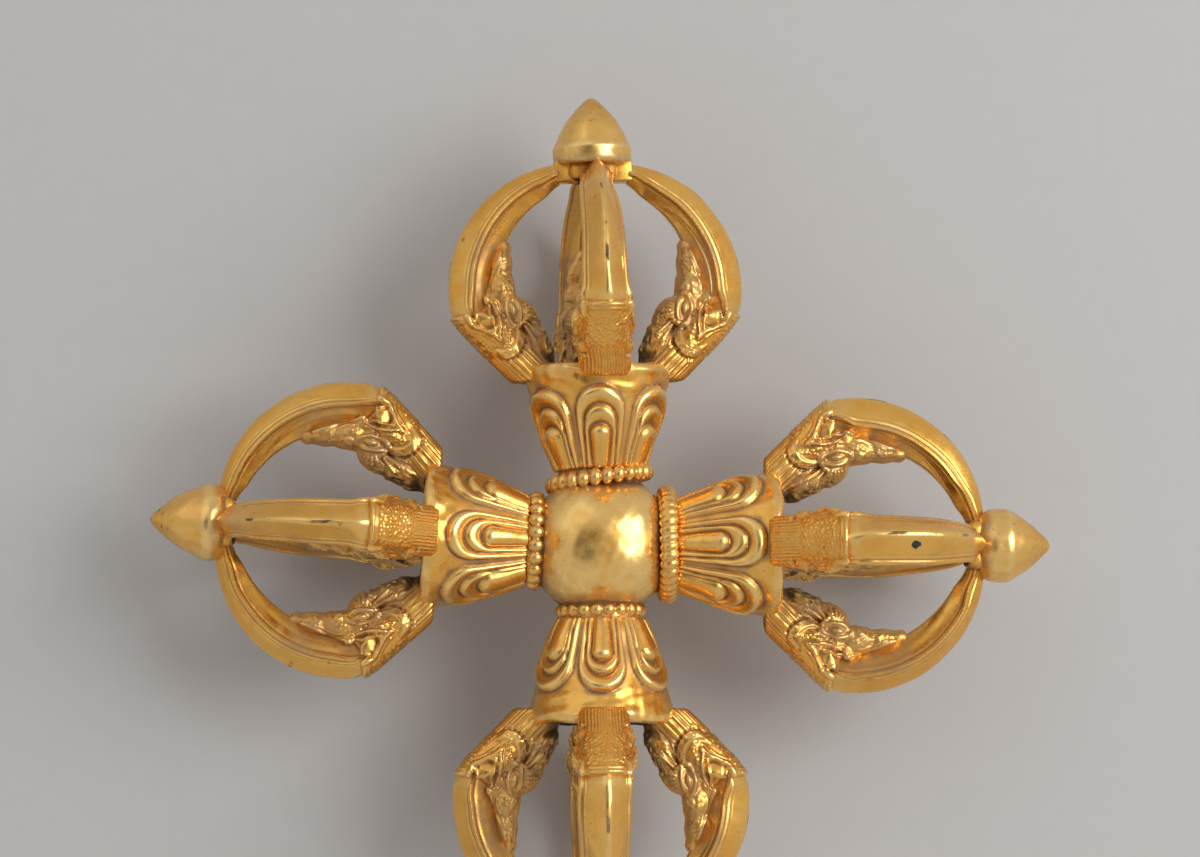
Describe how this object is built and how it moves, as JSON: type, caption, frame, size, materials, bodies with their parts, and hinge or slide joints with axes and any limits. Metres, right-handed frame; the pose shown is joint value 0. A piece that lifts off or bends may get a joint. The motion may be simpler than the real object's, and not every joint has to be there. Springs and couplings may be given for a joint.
{
  "type": "crossed vajra",
  "caption": "Crossed dorje of gilt metal: vajra heads at right angles on a round hub, each with a beaded collar, lotus calyx, makara-headed prongs and a bud finial.",
  "frame": {"origin": "centre of the round hub, where the axes of the arms cross", "axes": "+X along the east arm, +Y along the north arm, +Z out of the cross's front; it lies on its back prongs"},
  "size_m": [0.1797, 0.1798, 0.0596],
  "materials": {
    "polished_gilding": "polished",
    "chased_gilding": "satin, chased",
    "dark_gilding": "worn and dark"
  },
  "bodies": {
    "root": {"hub": "polished_gilding", "beaded_collar_east": "polished_gilding", "lotus_calyx_east": "chased_gilding", "spindle_east": "dark_gilding", "finial_east": "polished_gilding", "prong_east_front": "chased_gilding", "prong_east_left": "chased_gilding", "prong_east_back": "chased_gilding", "prong_east_right": "chased_gilding", "beaded_collar_north": "polished_gilding", "lotus_calyx_north": "chased_gilding", "spindle_north": "dark_gilding", "finial_north": "polished_gilding", "prong_north_front": "chased_gilding", "prong_north_left": "chased_gilding", "prong_north_back": "chased_gilding", "prong_north_right": "chased_gilding", "beaded_collar_west": "polished_gilding", "lotus_calyx_west": "chased_gilding", "spindle_west": "dark_gilding", "finial_west": "polished_gilding", "prong_west_front": "chased_gilding", "prong_west_left": "chased_gilding", "prong_west_back": "chased_gilding", "prong_west_right": "chased_gilding", "beaded_collar_south": "polished_gilding", "lotus_calyx_south": "chased_gilding", "spindle_south": "dark_gilding", "finial_south": "polished_gilding", "prong_south_front": "chased_gilding", "prong_south_left": "chased_gilding", "prong_south_back": "chased_gilding", "prong_south_right": "chased_gilding"}
  },
  "joints": []
}
